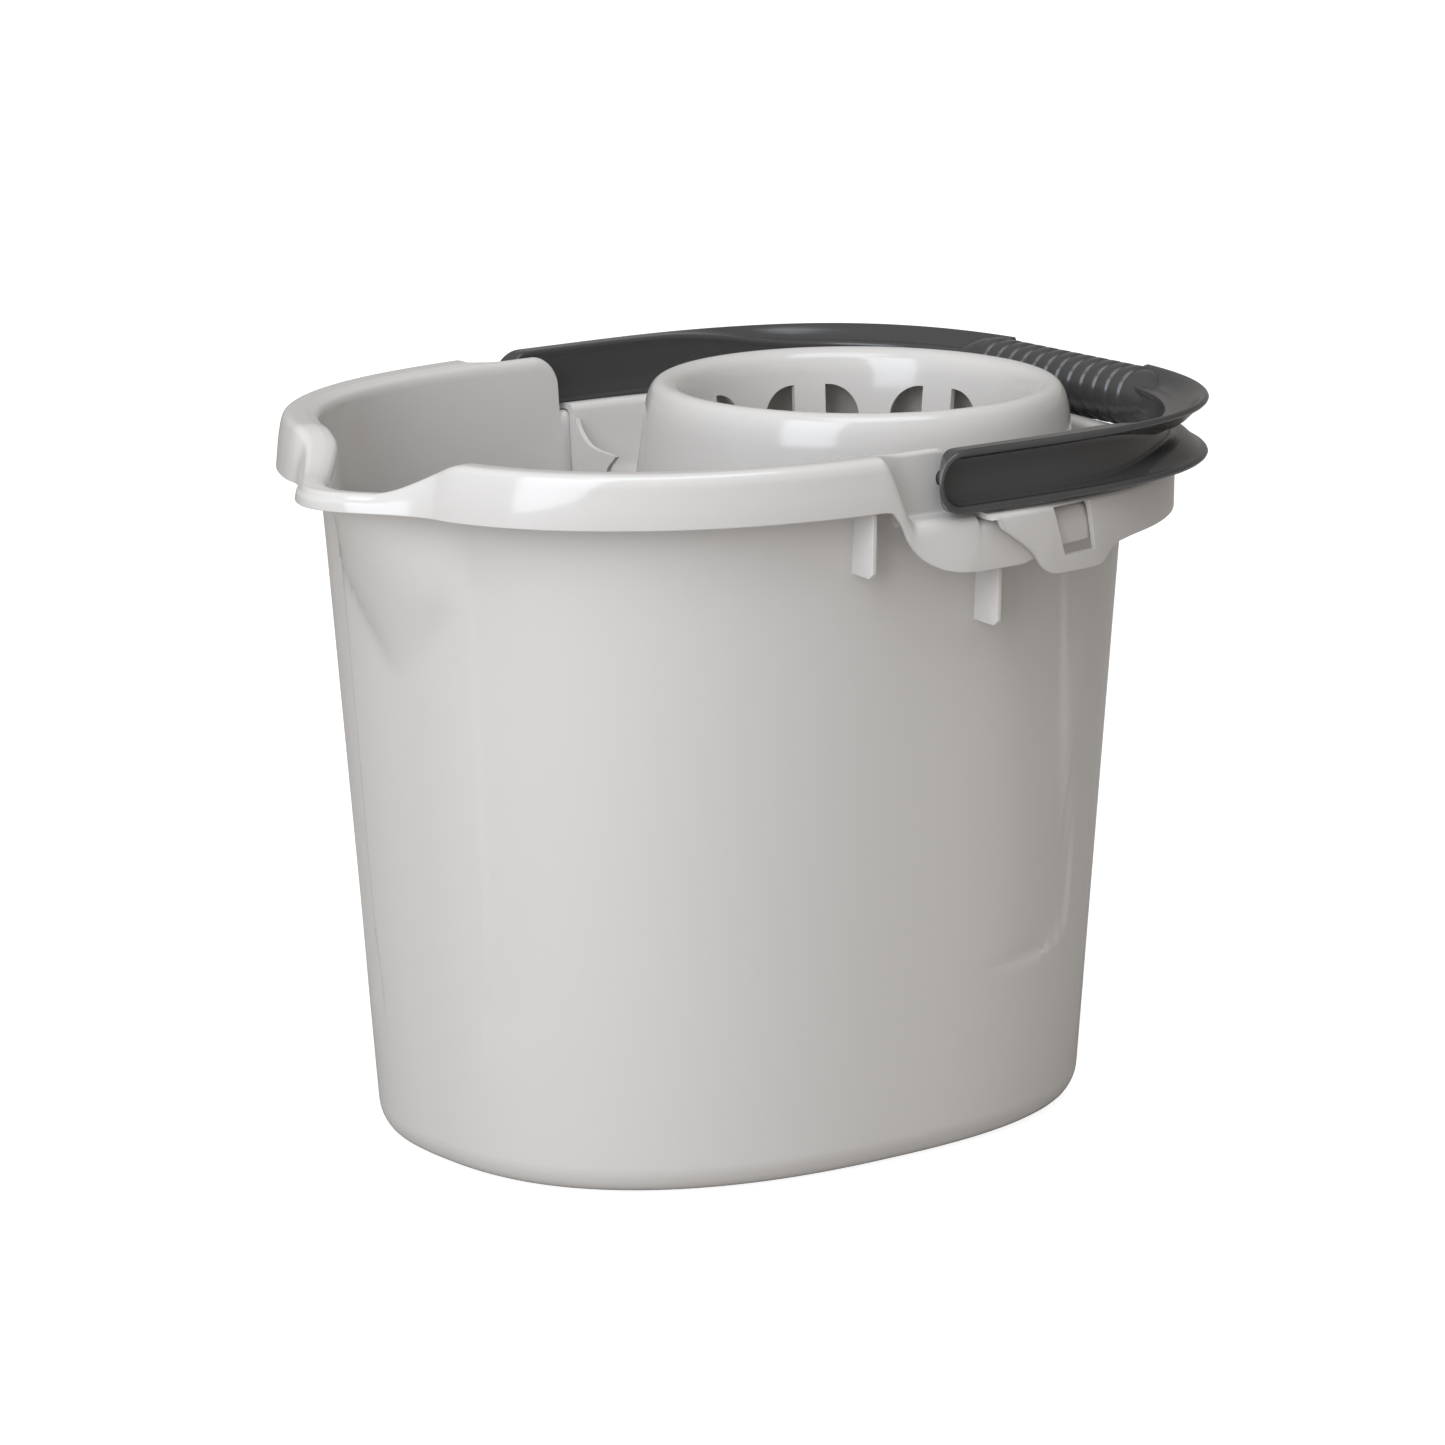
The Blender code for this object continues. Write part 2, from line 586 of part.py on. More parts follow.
# ------------------------------------------------------------------------ main
def main():
    for ob in list(bpy.data.objects):
        bpy.data.objects.remove(ob, do_unlink=True)
    scene = bpy.context.scene
    coll = bpy.data.collections.new("mop_bucket")
    tools = bpy.data.collections.new("cutters")
    scene.collection.children.link(coll)
    scene.collection.children.link(tools)

    bucket = build_bucket(coll, tools)
    wringer = build_wringer(coll, tools)
    handle = build_handle(coll, tools)

    finish(bucket, material("bucket plastic", (0.600, 0.590, 0.585), 0.28))
    finish(wringer, material("wringer plastic", (0.600, 0.590, 0.585), 0.30))
    finish(handle, material("handle plastic", (0.052, 0.055, 0.058), 0.32))

    # the handle turns about its peg axis, so its origin is on that axis
    for ob, at in ((handle, Vector((PIVOT_X + SHIFT_X, 0.0, PIVOT_Z))),):
        for v in ob.data.vertices:
            v.co -= at
        ob.location = at
    # The tools of the handle keep their world placement while the handle moves its origin.


main()
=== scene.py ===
"""Looks of the oval mop bucket: smooth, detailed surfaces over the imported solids, moulded plastic, soft studio."""
import bpy
import bmesh
import math
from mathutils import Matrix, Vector


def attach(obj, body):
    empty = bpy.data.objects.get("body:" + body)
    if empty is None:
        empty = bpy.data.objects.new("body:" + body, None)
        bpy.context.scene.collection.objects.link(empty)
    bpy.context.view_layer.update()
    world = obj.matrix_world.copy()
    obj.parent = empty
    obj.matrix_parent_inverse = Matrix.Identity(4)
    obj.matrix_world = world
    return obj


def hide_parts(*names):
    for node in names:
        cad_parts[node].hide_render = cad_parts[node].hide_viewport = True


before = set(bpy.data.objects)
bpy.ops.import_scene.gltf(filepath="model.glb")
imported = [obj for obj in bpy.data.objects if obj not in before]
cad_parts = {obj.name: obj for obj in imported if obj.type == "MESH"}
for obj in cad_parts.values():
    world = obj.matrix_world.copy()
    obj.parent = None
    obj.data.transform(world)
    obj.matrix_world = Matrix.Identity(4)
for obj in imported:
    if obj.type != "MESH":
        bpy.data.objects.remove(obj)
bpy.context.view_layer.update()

# ------------------------------------------------------------------ dimensions (metres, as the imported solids)
SHIFT_X = 0.0051
FOOT_A, FOOT_B, FOOT_N, FOOT_X, FOOT_Z = 0.1364, 0.1026, 2.41, 0.0023, 0.004
RIM_A, RIM_B, RIM_N, RIM_X, RIM_Z = 0.1513, 0.1181, 2.53, 0.0, 0.245
WALL_T, FLOOR_T = 0.0022, 0.0028
CREST_Z, EAR_Z, SKIRT_Z, SHELF_Z = 0.2700, 0.2690, 0.2503, 0.2452
LOW_SHELF_Z, LOW_RIM_Z, LOW_SKIRT_Z, REAR_SKIRT_Z = 0.2430, 0.2474, 0.2246, 0.2290
LIP_T = 0.0026
SPOUT_OUT, SPOUT_LIP_Z, SPOUT_FOOT_Z, SPOUT_HALF = 0.0244, 0.2574, 0.185, 0.0398
PIVOT_X, PIVOT_Z, PEG_R, SOCKET_R = 0.0024, 0.2582, 0.0028, 0.0031
TURRET_X = 0.0617
SLOTS, SLOT_W, SLOT_TOP, SLOT_FOOT = 16, 0.0130, 0.2574, 0.184
PAN_Z, PAN_T, LIP_Z, COVER_Z, PAN_FRONT = 0.2220, 0.0022, 0.2502, 0.2456, 0.0130
ARM_TOP, ARM_FOOT, ARM_END, BEND_X = 0.2698, 0.2466, -0.0095, 0.030
H_A, H_B, H_N = 0.1450, 0.1352, 2.80
W_A, W_B, W_N = 0.1310, 0.1276, 2.50
WEB_T, FIN_T = 0.0026, 0.0026
GRIP_X, GRIP_Z, GRIP_R = 0.1648, 0.2583, 0.0108
RIDGES, RIDGE_PITCH, RIDGE_H = 12, 0.0073, 0.0010


# --------------------------------------------------------------------- helpers
def clamp(v, lo=0.0, hi=1.0):
    return max(lo, min(hi, v))


def smooth(v, lo, hi):
    t = clamp((v - lo) / (hi - lo))
    return t * t * (3.0 - 2.0 * t)


def mix(p, q, t):
    return p + (q - p) * t


def ramp(v, pairs):
    if v <= pairs[0][0]:
        return pairs[0][1]
    for (x0, y0), (x1, y1) in zip(pairs, pairs[1:]):
        if v <= x1:
            return mix(y0, y1, (v - x0) / (x1 - x0))
    return pairs[-1][1]


def curve(v, pairs):
    """Smooth (monotone cubic) curve through (input, output) pairs."""
    n = len(pairs)
    if v <= pairs[0][0]:
        return pairs[0][1]
    if v >= pairs[-1][0]:
        return pairs[-1][1]
    sl = [(pairs[i + 1][1] - pairs[i][1]) / (pairs[i + 1][0] - pairs[i][0]) for i in range(n - 1)]
    for i in range(n - 1):
        if v <= pairs[i + 1][0]:
            def tangent(k):
                if k == 0:
                    return sl[0]
                if k == n - 1:
                    return sl[-1]
                a, b = sl[k - 1], sl[k]
                return 0.0 if a * b <= 0 else 2.0 * a * b / (a + b)
            h = pairs[i + 1][0] - pairs[i][0]
            t = (v - pairs[i][0]) / h
            m0, m1 = tangent(i) * h, tangent(i + 1) * h
            p0, p1 = pairs[i][1], pairs[i + 1][1]
            return ((2 * t ** 3 - 3 * t * t + 1) * p0 + (t ** 3 - 2 * t * t + t) * m0
                    + (3 * t * t - 2 * t ** 3) * p1 + (t ** 3 - t * t) * m1)
    return pairs[-1][1]


def super_point(a, b, n, phi):
    c, s = math.cos(phi), math.sin(phi)
    r = (abs(c / a) ** n + abs(s / b) ** n) ** (-1.0 / n)
    x, y = r * c, r * s
    gx = math.copysign(abs(x / a) ** (n - 1.0) / a, x)
    gy = math.copysign(abs(y / b) ** (n - 1.0) / b, y)
    g = math.hypot(gx, gy)
    return x, y, gx / g, gy / g


def fillets(pts, radii, n=4):
    """Rounded corners on an open polyline of tuples: n points at each inner corner, one at each end."""
    out = [pts[0]]
    dim = len(pts[0])
    for i in range(1, len(pts) - 1):
        p, a, b = pts[i], pts[i - 1], pts[i + 1]
        la = math.sqrt(sum((a[k] - p[k]) ** 2 for k in range(dim)))
        lb = math.sqrt(sum((b[k] - p[k]) ** 2 for k in range(dim)))
        r = min(0.5 * la, 0.5 * lb, radii[i])
        s = tuple(p[k] + (a[k] - p[k]) * (r / la if la > 1e-9 else 0.0) for k in range(dim))
        e = tuple(p[k] + (b[k] - p[k]) * (r / lb if lb > 1e-9 else 0.0) for k in range(dim))
        for q in range(n):
            t = q / (n - 1.0)
            out.append(tuple((1 - t) ** 2 * s[k] + 2 * t * (1 - t) * p[k] + t * t * e[k] for k in range(dim)))
    out.append(pts[-1])
    return out


def spout_push(y, z):
    rise = clamp((z - SPOUT_FOOT_Z) / (SPOUT_LIP_Z - SPOUT_FOOT_Z), 0.0, 1.15)
    if rise <= 0.0:
        return 0.0
    wide = min(0.0400, 0.0060 + 1.00 * max(0.0, z - 0.1870))
    half = mix(wide, SPOUT_HALF, smooth(z, 0.2330, 0.2520))
    u = abs(y) / half
    if u >= 1.0:
        return 0.0
    power = mix(1.05, 1.75, smooth(z, 0.2250, 0.2480))
    return SPOUT_OUT * rise ** 1.25 * (1.0 - u * u) ** power


def panels(x, y, z):
    """Shallow moulded panels of the wall, outward offset."""
    if z < 0.03 or z > 0.2400:
        return 0.0
    d = 0.0
    top = 1.0 - smooth(z, 0.222, 0.236)
    if x > 0.0:
        xb = curve(z, [(0.062, 0.052), (0.0655, 0.062), (0.0672, 0.0713), (0.0722, 0.0843), (0.080, 0.0885),
                       (0.095, 0.0895), (0.1124, 0.0880), (0.131, 0.0815), (0.171, 0.0764), (0.212, 0.0723)])
        s = xb - x
        if s > -0.0022:
            edge = smooth(s, -0.0012, 0.0012)
            fade = 1.0 - smooth(s, 0.003, 0.040)
            d -= 0.0010 * edge * fade * smooth(z, 0.0655, 0.0685) * top
        # ridge between the side and the rear end
        xr = curve(z, [(0.115, 0.0800), (0.131, 0.0815), (0.158, 0.0855), (0.184, 0.0895), (0.2105, 0.0932)])
        if z > 0.112:
            k = smooth(z, 0.118, 0.160)
            q = x - xr
            ridge = clamp(1.0 + q / 0.0130) if q < 0.0 else clamp(1.0 - q / 0.0300) ** 2
            d += 0.0006 * k * ridge * top
    else:
        yb = curve(z, [(0.050, 0.030), (0.0622, 0.0320), (0.0861, 0.0362), (0.158, 0.0381), (0.215, 0.0400)])
        s = abs(y) - yb
        fade = 1.0 - smooth(s, 0.004, 0.034)
        d -= 0.0009 * smooth(s, -0.0012, 0.0014) * fade * smooth(z, 0.045, 0.070) * top
    return d


def oval(phi, z, d, panel=0.0):
    t = (z - FOOT_Z) / (RIM_Z - FOOT_Z)
    a, b, n = mix(FOOT_A, RIM_A, t), mix(FOOT_B, RIM_B, t), mix(FOOT_N, RIM_N, t)
    x, y, nx, ny = super_point(a, b, n, phi)
    x += mix(FOOT_X, RIM_X, t)
    if panel:
        d += panel * panels(x, y, z)
    px, py = x + d * nx, y + d * ny
    if px < 0.0:
        px -= spout_push(y, z)
    return Vector((px, py, z))


def phi_at_x(x):
    y = RIM_B * (1.0 - abs(x / RIM_A) ** RIM_N) ** (1.0 / RIM_N)
    return math.atan2(y, x)


def new_mesh(name, verts, faces):
    me = bpy.data.meshes.new(name)
    me.from_pydata([(v[0] + SHIFT_X, v[1], v[2]) for v in verts], [], faces)
    me.update()
    ob = bpy.data.objects.new(name, me)
    bpy.context.scene.collection.objects.link(ob)
    bm = bmesh.new()
    bm.from_mesh(me)
    bmesh.ops.recalc_face_normals(bm, faces=bm.faces[:])
    bm.to_mesh(me)
    bm.free()
    return ob


def prism(name, outline, lo, hi, axis, bevel=0.0):
    def place(p, h):
        if axis == "X":
            return (h, p[0], p[1])
        if axis == "Y":
            return (p[0], h, p[1])
        return (p[0], p[1], h)
    n = len(outline)
    verts = [place(p, lo) for p in outline] + [place(p, hi) for p in outline]
    faces = [tuple(range(n)), tuple(range(2 * n - 1, n - 1, -1))]
    faces += [(i, (i + 1) % n, n + (i + 1) % n, n + i) for i in range(n)]
    ob = new_mesh(name, verts, faces)
    if bevel:
        m = ob.modifiers.new("edge", "BEVEL")
        m.width, m.segments, m.limit_method, m.angle_limit = bevel, 3, "ANGLE", math.radians(30)
        settle(ob)
    return ob


def settle(ob):
    """Applies the modifiers."""
    dg = bpy.context.evaluated_depsgraph_get()
    dg.update()
    me = bpy.data.meshes.new_from_object(ob.evaluated_get(dg))
    ob.modifiers.clear()
    old = ob.data
    ob.data = me
    bpy.data.meshes.remove(old)


def drop(ob):
    me = ob.data
    bpy.data.objects.remove(ob, do_unlink=True)
    bpy.data.meshes.remove(me)


def gather(name, obs):
    bm = bmesh.new()
    for ob in obs:
        bm.from_mesh(ob.data)
    me = bpy.data.meshes.new(name)
    bm.to_mesh(me)
    bm.free()
    for ob in obs:
        drop(ob)
    out = bpy.data.objects.new(name, me)
    bpy.context.scene.collection.objects.link(out)
    return out


def boolean(ob, tool, op, solver="EXACT"):
    m = ob.modifiers.new(op, "BOOLEAN")
    m.operation, m.object, m.solver = op, tool, solver
    bpy.context.view_layer.update()
    settle(ob)
    drop(tool)


# ---------------------------------------------------------------------- bucket
def half_angles():
    """Angles from the rear (0) to the spout (pi) on the +Y side, closer where the rim changes."""
    def gap(x, y):
        if -0.034 < x < 0.0135:
            return 0.00065
        if x < -0.10 and y < 0.060:
            return 0.0011
        if 0.062 < x < 0.100:
            return 0.0011
        return 0.0022
    n = 24000
    out, acc, last = [0.0], 0.0, None
    for i in range(n + 1):
        phi = math.pi * i / n
        p = oval(phi, RIM_Z, 0.0)
        if last is not None:
            acc += (p - last).length / gap(p.x, abs(p.y))
            if acc >= 1.0:
                out.append(phi)
                acc -= 1.0
        last = p
    keep = [phi_at_x(x) for x in (0.0118, 0.0100, 0.00885, 0.0085)]
    out = [p for p in out if all(abs(p - k) > 0.0030 for k in keep) and p < math.pi - 0.004] + keep + [math.pi]
    return sorted(out)


S_FOOT = [(-0.0290, SKIRT_Z), (-0.0262, SKIRT_Z - 0.0006), (-0.0245, 0.2480), (-0.0220, 0.2448), (-0.0190, 0.2388),
          (-0.0160, 0.2346), (-0.0125, 0.2312), (-0.0080, 0.2284), (-0.0030, 0.2264), (0.0030, 0.2252),
          (0.0100, LOW_SKIRT_Z)]


def bucket_section(phi):
    p = oval(phi, RIM_Z, 0.0)
    x, y = p.x, abs(p.y)
    front = 1.0 - smooth(x, -0.0300, -0.0145)
    behind = smooth(x, 0.0100, 0.0118)
    spout = (1.0 - smooth(y, 0.0190, 0.0480)) if x < 0.0 else 0.0
    crest = mix(CREST_Z, SPOUT_LIP_Z, spout)
    shelf = mix(SHELF_Z, LOW_SHELF_Z, behind)
    zo = mix(shelf, crest, front)
    if x < 0.0100:
        zb = curve(x, S_FOOT) + 0.0004 * spout
    else:
        zb = mix(LOW_SKIRT_Z, REAR_SKIRT_Z, smooth(x, 0.030, 0.045))
    if x < -0.0010:
        zi = mix(EAR_Z, CREST_Z - 0.0006, front)
    elif x < 0.0086:
        r = 0.0100
        zi = EAR_Z - r + math.sqrt(max(0.0, r * r - (x + 0.0010) ** 2))
    else:
        zi = LOW_RIM_Z
    zi = mix(zi, SPOUT_LIP_Z - 0.0004, spout)
    foot = mix(min(shelf + 0.0005, zi - 0.0008), crest - 0.00015, front)
    top = mix(min(zi - 0.0010, EAR_Z), crest - 0.0002, front)
    k = mix(1.0, 0.80, spout)
    flare = 0.0028 * smooth(-x, 0.112, 0.148)
    wide = 0.0030 * smooth(x, -0.0200, 0.0100)
    e = wide + flare
    under = zo - LIP_T
    F = 0.05          # large: rounds as far as the neighbours allow
    c = [((0.0, -0.0105), F), ((0.0003, -0.0066), F), ((0.0022, -0.0027), F), ((0.0072, -0.0001), F),
         ((0.0130, 0.0), F)]
    zs = [0.022, 0.034, 0.045, 0.055, 0.0625, 0.0655, 0.067, 0.0685, 0.071, 0.076, 0.084, 0.095, 0.107, 0.119,
          0.131, 0.143, 0.155, 0.167, 0.178, 0.184, 0.189, 0.194, 0.199, 0.204, 0.209, 0.214]
    wall = [((z, 0.0), 0.0) for z in zs]
    up = min(under, zb) - 0.006
    wall += [((mix(0.214, up, 0.35), 0.0), 0.0), ((mix(0.214, up, 0.7), 0.0), 0.0), ((up, 0.0), 0.0)]
    c2 = [((under - 0.0012, 0.0), 0.0004),
          ((under, 0.0016 * k), F),
          ((under - 0.0004, mix(0.0086, 0.0080 * k, spout) + wide), F),
          ((mix(zb, under, 0.80), mix(0.0098, 0.0088 * k, spout) + wide), 0.0010),
          ((zb, 0.0112 * k + e), 0.0005),
          ((zb, 0.0134 * k + e), 0.0007),
          ((mix(zb, zo, 0.55), 0.0127 * k + wide + 0.45 * flare), F),
          ((zo - 0.0036 * mix(1, .6, spout), 0.0122 * k + wide), F),
          ((zo - 0.0011, 0.0111 * k + wide), F),
          ((zo, 0.0090 * k + wide), F),
          ((mix(foot, zo, 0.6), 0.0058 * k), F),
          ((foot, 0.0035 * k), 0.0012),
          ((top, 0.0028 * k), F),
          ((zi, 0.0012 * k), F),
          ((zi - 0.0008, -0.0014), F),
          ((zi - 0.0034, -WALL_T), F)]
    c3 = [((z, -WALL_T), 0.0) for z in (0.236, 0.229, 0.222, 0.215, 0.209, 0.203, 0.198, 0.193, 0.188, 0.182, 0.172,
                                        0.155, 0.125, 0.095, 0.065, 0.040, 0.020)]
    c4 = [((0.0098, -WALL_T - 0.0001), F), ((0.0048, -WALL_T - 0.0020), F), ((FLOOR_T, -WALL_T - 0.0078), F)]
    ctrl = c + wall + c2 + c3 + c4
    pts = [i[0] for i in ctrl]
    out = [pts[0]]
    for i in range(1, len(pts) - 1):
        r = ctrl[i][1]
        if r == 0.0:
            out.append(pts[i])
            continue
        sub = fillets([pts[i - 1], pts[i], pts[i + 1]], [0, r, 0], 4)[1:-1]
        out += sub
    out.append(pts[-1])
    return [oval(phi, z, d, 1.0 if z < 0.2400 else 0.0) for z, d in out]


def make_bucket():
    half = half_angles()
    secs = [bucket_section(p) for p in half]
    for s in (secs[0], secs[-1]):
        for v in s:
            v.y = 0.0
    secs = secs + [[Vector((v.x, -v.y, v.z)) for v in s] for s in secs[1:-1]][::-1]
    k, m = len(secs[0]), len(secs)
    verts = [p for s in secs for p in s]
    faces = []
    for i in range(m):
        j = (i + 1) % m
        for q in range(k - 1):
            faces.append((i * k + q, i * k + q + 1, j * k + q + 1, j * k + q))
    for q, z in ((0, 0.0), (k - 1, FLOOR_T)):
        ring = [i * k + q for i in range(m)]
        for share in (0.8, 0.45):
            base = len(verts)
            for i in range(m):
                p = verts[i * k + q]
                verts.append(Vector((p.x * share, p.y * share, z)))
            inner = [base + i for i in range(m)]
            for i in range(m):
                j = (i + 1) % m
                faces.append((ring[i], ring[j], inner[j], inner[i]))
            ring = inner
        verts.append(Vector((0.0, 0.0, z)))
        cc = len(verts) - 1
        for i in range(m):
            faces.append((ring[i], ring[(i + 1) % m], cc))
    ob = new_mesh("bucket_shell", verts, faces)

    plates = []
    for x, z0, z1 in ((-0.0328, 0.2268, CREST_Z - 0.0016), (0.0243, 0.2028, LOW_SHELF_Z - 0.0012)):
        def wall_y(z):
            t = (z - FOOT_Z) / (RIM_Z - FOOT_Z)
            a, b, n = mix(FOOT_A, RIM_A, t), mix(FOOT_B, RIM_B, t), mix(FOOT_N, RIM_N, t)
            return b * (1.0 - abs((x - mix(FOOT_X, RIM_X, t)) / a) ** n) ** (1.0 / n)
        yo = wall_y(0.245) + 0.0106
        for sgn in (1.0, -1.0):
            out = [(wall_y(z0) - 0.0012, z0), (yo - 0.0022, z0 - 0.0006), (yo - 0.0002, z0 + 0.0012),
                   (yo + 0.0002, mix(z0, z1, 0.5)), (yo - 0.0012, z1), (wall_y(z1) - 0.0012, z1)]
            plates.append(prism("rib", [(sgn * y, z) for y, z in out], x - 0.0010, x + 0.0010, "X", 0.00035))
    boolean(ob, gather("ribs", plates), "UNION")
    socks = []
    for sgn in (1.0, -1.0):
        circ = [(PIVOT_X + SOCKET_R * math.cos(i * math.pi / 20), PIVOT_Z + SOCKET_R * math.sin(i * math.pi / 20))
                for i in range(40)]
        y0, y1 = sgn * 0.1179, sgn * 0.1260
        socks.append(prism("socket", circ, min(y0, y1), max(y0, y1), "Y"))
    boolean(ob, gather("sockets", socks), "DIFFERENCE")
    return ob


# --------------------------------------------------------------------- wringer
TURRET = [(0.0849, 0.2186), (0.0844, 0.2235), (0.0822, 0.2400), (0.0806, 0.2520), (0.0796, 0.2605),
          (0.0784, 0.2655), (0.0765, 0.2690), (0.0740, 0.2705), (0.0706, 0.2702), (0.0677, 0.2684),
          (0.0656, 0.2640), (0.0643, 0.2560), (0.0625, 0.2400), (0.0600, 0.2150), (0.0566, 0.1800),
          (0.0558, 0.1735), (0.0540, 0.1700), (0.0500, 0.1682), (0.0250, 0.1672), (0.0120, 0.1672)]
TURRET_IN = [(0.0120, 0.1648), (0.0250, 0.1648), (0.0508, 0.1658), (0.0556, 0.1680), (0.0580, 0.1725),
             (0.0589, 0.1800), (0.0623, 0.2150), (0.0648, 0.2400), (0.0666, 0.2560), (0.0678, 0.2628),
             (0.0695, 0.2662), (0.0722, 0.2681), (0.0745, 0.2672), (0.0761, 0.2640), (0.0774, 0.2600),
             (0.0784, 0.2520), (0.0800, 0.2400), (0.0822, 0.2235), (0.0828, 0.2186)]
SIDE_LO = PAN_FRONT


def skirt_foot(x):
    return curve(x, [(0.0155, 0.2434), (0.0165, 0.2428), (0.0180, 0.2400), (0.0227, 0.2366), (0.0306, 0.2311),
                     (0.0346, 0.2276), (0.0376, 0.2238), (0.0400, 0.2214), (0.0425, 0.2201), (0.0460, 0.2194),
                     (0.0660, 0.2190), (0.0688, 0.2195), (0.0705, 0.2208), (0.0724, 0.2230), (0.0745, 0.2247),
                     (0.0781, 0.2259), (0.0907, 0.2267), (0.2, 0.2267)])


def pan_section(phi):
    p = oval(phi, RIM_Z, 0.0)
    zs = skirt_foot(p.x)

    def turret_at(q, r, z):
        dx, dy = q.x - TURRET_X, q.y
        h = math.hypot(dx, dy)
        return Vector((TURRET_X + r * dx / h, r * dy / h, z))
    w = oval(phi, PAN_Z, -0.0095)
    r_in = min(0.0834, math.hypot(w.x - TURRET_X, w.y) - 0.0012)
    F = 0.05
    prof = [((PAN_Z, -0.0095), F), ((PAN_Z + 0.0030, -0.0066), F), ((0.2440, -0.0052), F), ((0.2484, -0.0047), F),
            ((LIP_Z - 0.0002, -0.0032), F), ((LIP_Z, -0.0004), F), ((LIP_Z - 0.0010, 0.0040), F),
            ((COVER_Z + 0.0007, 0.0056), F), ((COVER_Z, 0.0074), F), ((COVER_Z, 0.0160), F),
            ((COVER_Z - 0.0014, 0.0182), F), ((zs, 0.0192), 0.0005), ((zs, 0.0171), 0.0004),
            ((mix(zs, 0.2433, 0.9), 0.0159), F), ((0.2434, 0.0148), F), ((0.2434, 0.0062), F),
            ((0.2440, 0.0050), F), ((0.2477, 0.0034), F), ((0.2477, -0.0012), F), ((0.2466, -0.0026), F),
            ((0.2300, -0.0027), F), ((PAN_Z + 0.0006, -0.0030), F), ((PAN_Z - PAN_T, -0.0062), F),
            ((PAN_Z - PAN_T, -0.0095), F)]
    pts = fillets([i[0] for i in prof], [i[1] for i in prof], 4)
    out = [turret_at(w, r_in, PAN_Z)] + [oval(phi, z, d) for z, d in pts]
    out.append(turret_at(w, r_in, PAN_Z - PAN_T))
    return out


